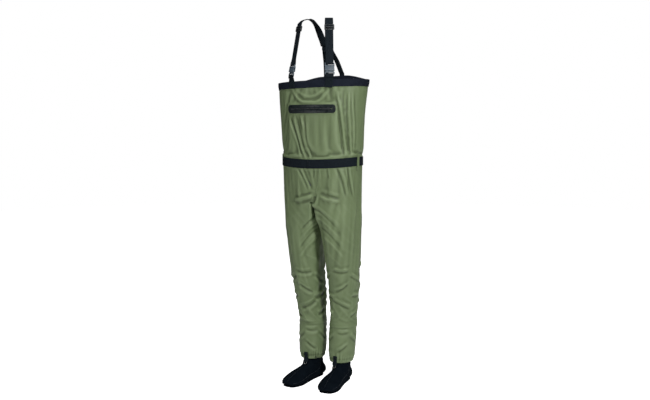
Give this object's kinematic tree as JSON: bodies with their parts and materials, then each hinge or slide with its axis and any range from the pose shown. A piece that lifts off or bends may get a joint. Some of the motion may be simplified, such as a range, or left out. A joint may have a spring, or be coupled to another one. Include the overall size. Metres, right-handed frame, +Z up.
{
  "type": "chest waders",
  "caption": "Stocking-foot chest waders with shoulder suspenders, a waist belt, a chest zip pocket, gathered gravel guards and neoprene socks.",
  "frame": {"origin": "middle of the standing footprint, on the plane of the soles", "axes": "+Z up, the wearer faces -Y and +X is the wearer's left"},
  "size_m": [0.4461, 0.3052, 1.6835],
  "materials": {
    "green_shell": "matte nylon shell",
    "dark_lining": "dark coated lining",
    "navy_trim": "matte navy-black stretch band",
    "black_webbing": "woven webbing",
    "neoprene": "matte neoprene",
    "seam_tape": "smooth taped seam",
    "welded_film": "satin welded film",
    "zip_resin": "satin resin",
    "buckle_plastic": "satin grey-blue plastic",
    "black_plastic": "satin black plastic",
    "hook_wire": "bright wire"
  },
  "bodies": {
    "waders": {"back_hem_band": "navy_trim", "back_torso_panel": "green_shell", "belt_buckle_prongs": "black_plastic", "cross_patch": "black_webbing", "crotch_gusset": "dark_lining", "front_hem_band": "navy_trim", "front_rise_seam_tape": "seam_tape", "front_torso_panel": "green_shell", "left_back_elastic": "black_webbing", "left_belt_loop": "green_shell", "left_belt_webbing": "black_webbing", "left_buckle_prongs": "buckle_plastic", "left_cuff_elastic": "black_webbing", "left_front_tab": "black_webbing", "left_gravel_guard": "green_shell", "left_inseam_tape": "seam_tape", "left_leg": "green_shell", "left_rear_belt_loop": "green_shell", "left_shin_liner": "dark_lining", "left_shoulder_strap": "black_webbing", "left_side_seam_tape": "seam_tape", "left_sock": "neoprene", "left_sock_sole": "neoprene", "pocket_bag": "dark_lining", "right_back_elastic": "black_webbing", "right_belt_loop": "green_shell", "right_belt_webbing": "black_webbing", "right_buckle_prongs": "buckle_plastic", "right_cuff_elastic": "black_webbing", "right_front_tab": "black_webbing", "right_gravel_guard": "green_shell", "right_inseam_tape": "seam_tape", "right_leg": "green_shell", "right_rear_belt_loop": "green_shell", "right_shin_liner": "dark_lining", "right_shoulder_strap": "black_webbing", "right_side_seam_tape": "seam_tape", "right_sock": "neoprene", "right_sock_sole": "neoprene", "zip_dock": "black_plastic", "zip_frame": "welded_film", "zip_lower_tape": "dark_lining", "zip_lower_teeth": "zip_resin", "zip_upper_tape": "dark_lining", "zip_upper_teeth": "zip_resin"},
    "zip_slider_body": {"zip_slider": "black_plastic"},
    "zip_puller_body": {"zip_puller": "black_plastic"},
    "left_buckle_half": {"left_buckle_socket": "buckle_plastic", "left_front_strap": "black_webbing"},
    "right_buckle_half": {"right_buckle_socket": "buckle_plastic", "right_front_strap": "black_webbing"},
    "left_adjuster": {"left_strap_adjuster": "black_plastic"},
    "right_adjuster": {"right_strap_adjuster": "black_plastic"},
    "belt_buckle_half": {"belt_buckle_socket": "black_plastic", "right_belt_end_loop": "black_webbing"},
    "left_tab": {"left_hook_tab": "black_webbing", "left_lace_hook": "hook_wire"},
    "right_tab": {"right_hook_tab": "black_webbing", "right_lace_hook": "hook_wire"}
  },
  "joints": [
    {"name": "chest_zip", "type": "hinge", "parent": "waders", "child": "zip_slider_body", "pos_m": [0, 0.2822, 1.2765], "axis": [0, 0, 1], "range_deg": [-23.5, 0]},
    {"name": "zip_puller_flip", "type": "hinge", "parent": "zip_slider_body", "child": "zip_puller_body", "pos_m": [0.09479, -0.11063, 1.2765], "axis": [0, 0, 1], "range_deg": [0, 170]},
    {"name": "left_suspender_buckle", "type": "slide", "parent": "waders", "child": "left_buckle_half", "axis": [-0.0957, 0.1658, 0.9815], "range_m": [0, 0.022]},
    {"name": "left_suspender_adjuster", "type": "slide", "parent": "left_buckle_half", "child": "left_adjuster", "axis": [0.0957, -0.1658, -0.9815], "range_m": [0, 0.11]},
    {"name": "right_suspender_buckle", "type": "slide", "parent": "waders", "child": "right_buckle_half", "axis": [0.0957, 0.1658, 0.9815], "range_m": [0, 0.022]},
    {"name": "right_suspender_adjuster", "type": "slide", "parent": "right_buckle_half", "child": "right_adjuster", "axis": [-0.0957, -0.1658, -0.9815], "range_m": [0, 0.11]},
    {"name": "belt_buckle", "type": "slide", "parent": "waders", "child": "belt_buckle_half", "axis": [-1, 0, 0], "range_m": [0, 0.022]},
    {"name": "left_hook_tab_lift", "type": "hinge", "parent": "waders", "child": "left_tab", "pos_m": [0.07781, -0.005, 0.134], "axis": [-1, 0, 0], "range_deg": [0, 120]},
    {"name": "right_hook_tab_lift", "type": "hinge", "parent": "waders", "child": "right_tab", "pos_m": [-0.07781, -0.005, 0.134], "axis": [-1, 0, 0], "range_deg": [0, 120]}
  ]
}
